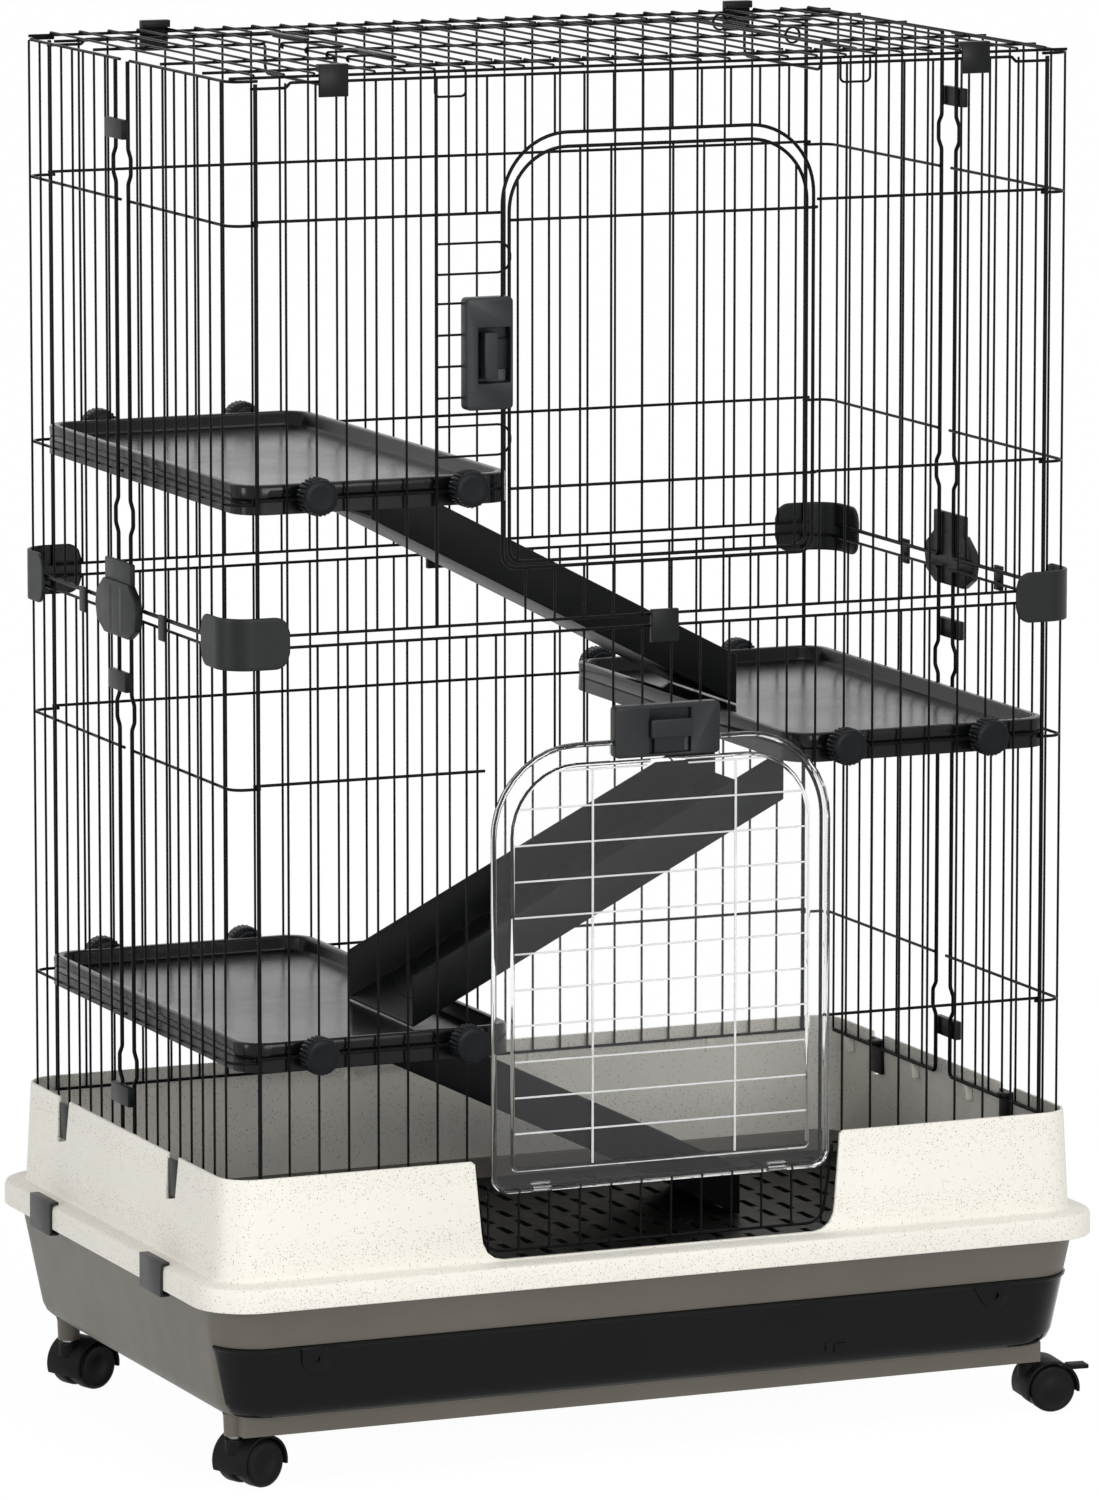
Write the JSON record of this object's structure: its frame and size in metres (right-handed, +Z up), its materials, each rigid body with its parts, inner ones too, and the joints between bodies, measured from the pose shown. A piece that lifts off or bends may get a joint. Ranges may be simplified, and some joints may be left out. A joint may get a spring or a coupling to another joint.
{
  "type": "small animal cage",
  "caption": "Tall wire cage on castors for small animals, with platforms, ramps, front doors, roof hatch, splash guard and pull-out drawer.",
  "frame": {"origin": "middle of the footprint on the ground, under the castors", "axes": "+Z up, front with the doors towards -Y, +X to the right seen from the front"},
  "size_m": [0.8118, 0.528, 1.155],
  "materials": {
    "black_wire": "gloss powder coat",
    "clip_plastic": "satin",
    "latch_plastic": "satin",
    "knob_plastic": "satin",
    "platform_plastic": "satin, fine grain",
    "flange_clip_plastic": "satin",
    "guard_plastic": "speckled, satin",
    "tub_plastic": "satin",
    "drawer_plastic": "gloss",
    "grid_plastic": "satin",
    "clear_plastic": "clear, polished",
    "stem_steel": "zinc plated",
    "castor_plastic": "satin",
    "wheel_plastic": "fine grain"
  },
  "bodies": {
    "cage": {"front_panel_upper": "black_wire", "upper_door_frame": "black_wire", "upper_latch_housing": "latch_plastic", "front_panel_lower": "black_wire", "clean_out_mesh": "black_wire", "lower_door_frame": "black_wire", "lower_hinge_wire": "black_wire", "lower_latch_housing": "latch_plastic", "back_panel_upper": "black_wire", "back_panel_lower": "black_wire", "left_panel_upper_front": "black_wire", "left_panel_lower_front": "black_wire", "left_panel_upper_rear": "black_wire", "left_panel_lower_rear": "black_wire", "right_panel_upper_front": "black_wire", "right_panel_lower_front": "black_wire", "right_panel_upper_rear": "black_wire", "right_panel_lower_rear": "black_wire", "corner_clips": "clip_plastic", "side_joint_clips": "clip_plastic", "seam_clips": "clip_plastic", "rail_clips": "clip_plastic", "roof_clips": "clip_plastic", "roof_panel": "black_wire", "roof_loops": "black_wire", "urine_guard": "guard_plastic", "guard_hold_clips": "clip_plastic", "flange_clips": "flange_clip_plastic", "base_tub": "tub_plastic", "floor_grid": "grid_plastic", "castor_stems": "stem_steel", "platform_upper_left": "platform_plastic", "platform_middle_right": "platform_plastic", "platform_lower_left": "platform_plastic", "hand_screws_upper": "knob_plastic", "hand_screws_middle": "knob_plastic", "hand_screws_lower": "knob_plastic", "ramp_upper": "platform_plastic", "ramp_middle": "platform_plastic", "ramp_lower": "platform_plastic"},
    "upper_door": {"upper_door": "black_wire"},
    "upper_bolt": {"upper_latch_bolt": "latch_plastic"},
    "lower_door": {"lower_door": "clear_plastic"},
    "lower_bolt": {"lower_latch_bolt": "latch_plastic"},
    "hatch": {"roof_hatch": "black_wire", "hatch_sleeves": "latch_plastic", "hatch_rings": "black_wire"},
    "catch_rear": {"roof_catch_rear": "black_wire"},
    "catch_front": {"roof_catch_front": "black_wire"},
    "drawer": {"drawer_tray": "drawer_plastic"},
    "hood_front_left": {"castor_hood_front_left": "castor_plastic"},
    "wheels_front_left": {"castor_wheels_front_left": "wheel_plastic"},
    "hood_front_right": {"castor_hood_front_right": "castor_plastic"},
    "wheels_front_right": {"castor_wheels_front_right": "wheel_plastic"},
    "hood_back_left": {"castor_hood_back_left": "castor_plastic"},
    "wheels_back_left": {"castor_wheels_back_left": "wheel_plastic"},
    "hood_back_right": {"castor_hood_back_right": "castor_plastic"},
    "wheels_back_right": {"castor_wheels_back_right": "wheel_plastic"},
    "brake": {"castor_brake_lever": "castor_plastic"}
  },
  "joints": [
    {"name": "drawer_slide", "type": "slide", "parent": "cage", "child": "drawer", "axis": [0, -1, 0], "range_m": [0, 0.38]},
    {"name": "upper_door_hinge", "type": "hinge", "parent": "cage", "child": "upper_door", "pos_m": [0.137, -0.23684, 0.917], "axis": [0, 0, 1], "range_deg": [0, 155]},
    {"name": "upper_bolt_slide", "type": "slide", "parent": "cage", "child": "upper_bolt", "axis": [1, 0, 0], "range_m": [0, 0.0115]},
    {"name": "lower_door_hinge", "type": "hinge", "parent": "cage", "child": "lower_door", "pos_m": [0, -0.23976, 0.2365], "axis": [1, 0, 0], "range_deg": [0, 94]},
    {"name": "lower_bolt_slide", "type": "slide", "parent": "cage", "child": "lower_bolt", "axis": [0, 0, -1], "range_m": [0, 0.0095]},
    {"name": "hatch_hinge", "type": "hinge", "parent": "cage", "child": "hatch", "pos_m": [0.21899, 0, 1.14779], "axis": [0, 1, 0], "range_deg": [0, 165]},
    {"name": "catch_rear_pivot", "type": "hinge", "parent": "cage", "child": "catch_rear", "pos_m": [-0.21899, 0.003, 1.14779], "axis": [0, -1, 0], "range_deg": [-4, 155]},
    {"name": "catch_front_pivot", "type": "hinge", "parent": "cage", "child": "catch_front", "pos_m": [-0.21899, -0.092, 1.14779], "axis": [0, -1, 0], "range_deg": [-70, 80]},
    {"name": "swivel_front_left", "type": "hinge", "parent": "cage", "child": "hood_front_left", "pos_m": [-0.357, -0.2, 0.038], "axis": [0, 0, 1], "continuous": true},
    {"name": "roll_front_left", "type": "hinge", "parent": "hood_front_left", "child": "wheels_front_left", "pos_m": [-0.34202, -0.19437, 0.02], "axis": [-0.3518, 0.9361, 0], "continuous": true},
    {"name": "swivel_front_right", "type": "hinge", "parent": "cage", "child": "hood_front_right", "pos_m": [0.357, -0.2, 0.038], "axis": [0, 0, 1], "continuous": true},
    {"name": "roll_front_right", "type": "hinge", "parent": "hood_front_right", "child": "wheels_front_right", "pos_m": [0.37288, -0.20192, 0.02], "axis": [0.1201, 0.9928, 0], "continuous": true},
    {"name": "swivel_back_left", "type": "hinge", "parent": "cage", "child": "hood_back_left", "pos_m": [-0.357, 0.188, 0.038], "axis": [0, 0, 1], "continuous": true},
    {"name": "roll_back_left", "type": "hinge", "parent": "hood_back_left", "child": "wheels_back_left", "pos_m": [-0.34202, 0.19363, 0.02], "axis": [-0.3518, 0.9361, 0], "continuous": true},
    {"name": "swivel_back_right", "type": "hinge", "parent": "cage", "child": "hood_back_right", "pos_m": [0.357, 0.188, 0.038], "axis": [0, 0, 1], "continuous": true},
    {"name": "roll_back_right", "type": "hinge", "parent": "hood_back_right", "child": "wheels_back_right", "pos_m": [0.37198, 0.19363, 0.02], "axis": [-0.3518, 0.9361, 0], "continuous": true},
    {"name": "brake_pivot", "type": "hinge", "parent": "hood_front_right", "child": "brake", "pos_m": [0.39344, -0.20441, 0.03481], "axis": [0.1201, 0.9928, 0], "range_deg": [-18, 18]}
  ]
}
